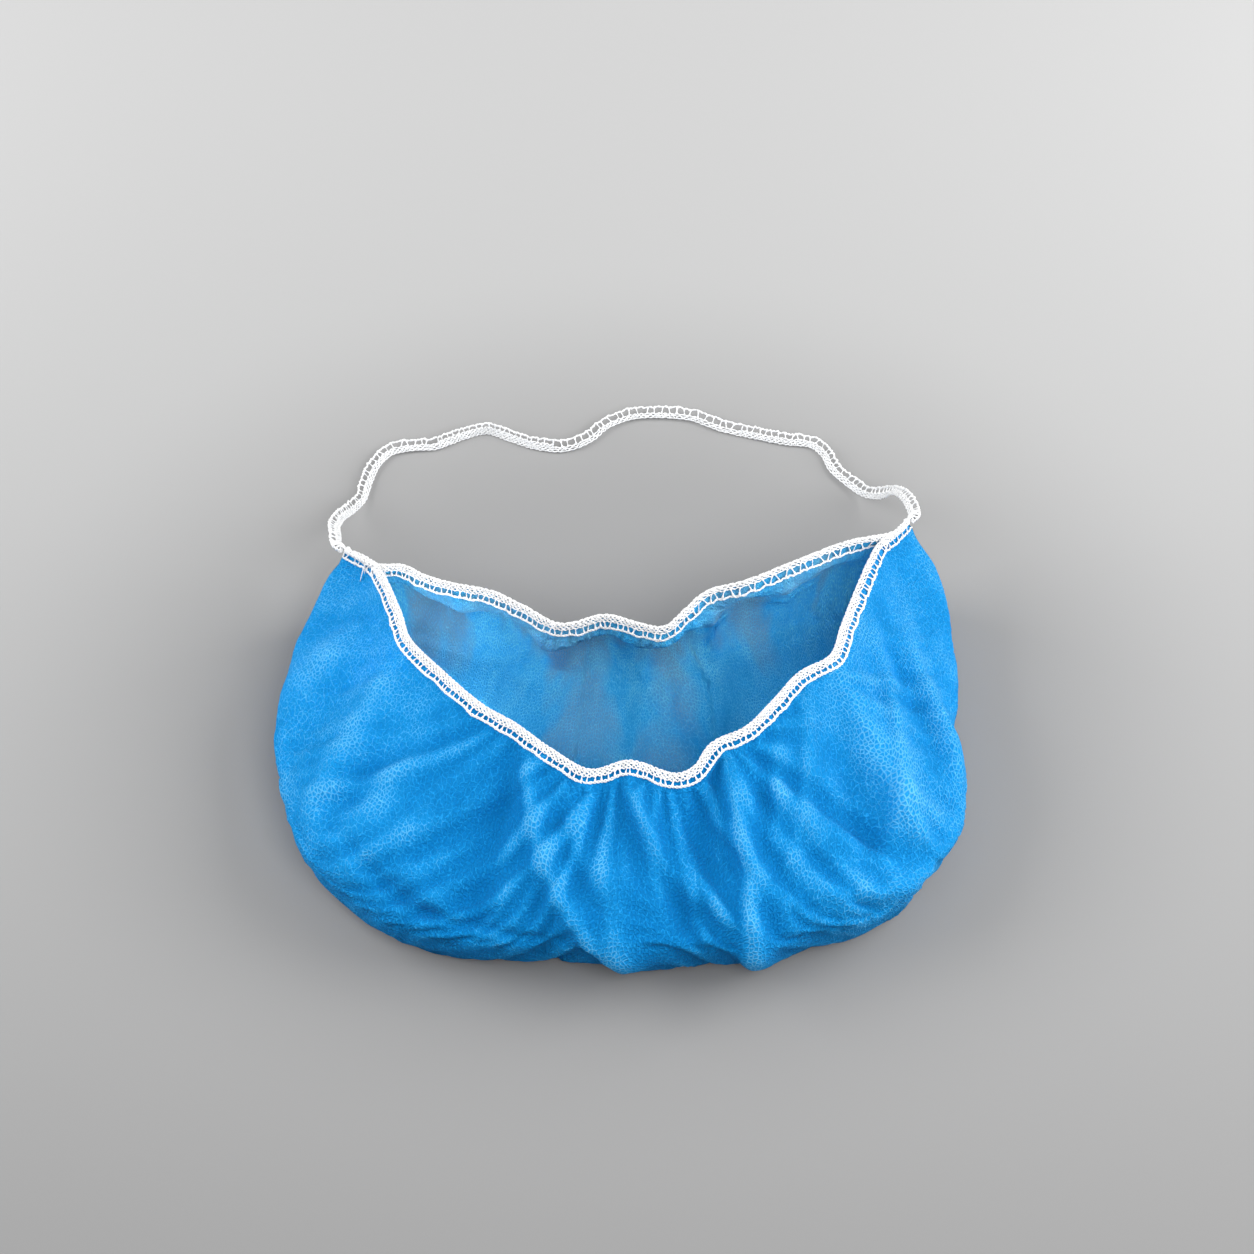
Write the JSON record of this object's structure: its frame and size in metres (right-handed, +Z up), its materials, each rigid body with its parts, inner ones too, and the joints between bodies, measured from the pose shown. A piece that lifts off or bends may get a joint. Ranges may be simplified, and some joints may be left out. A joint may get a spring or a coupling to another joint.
{
  "type": "beard cover",
  "caption": "Soft gathered cloth pouch with a crescent mouth, elastic edgings on both lips and a narrow elastic head loop.",
  "frame": {"origin": "on the surface that the cover lies on, under the middle of the pouch with its edgings", "axes": "+X along the mouth from its left corner to its right one, +Y from the front of the pouch to the head loop, +Z up"},
  "size_m": [0.2512, 0.2656, 0.0534],
  "materials": {
    "pouch": "matte embossed nonwoven",
    "front_edging": "matte knitted",
    "back_edging": "matte knitted",
    "head_loop": "matte knitted"
  },
  "bodies": {
    "root": {"pouch": "pouch", "front_edging": "front_edging", "back_edging": "back_edging", "head_loop": "head_loop"}
  },
  "joints": []
}
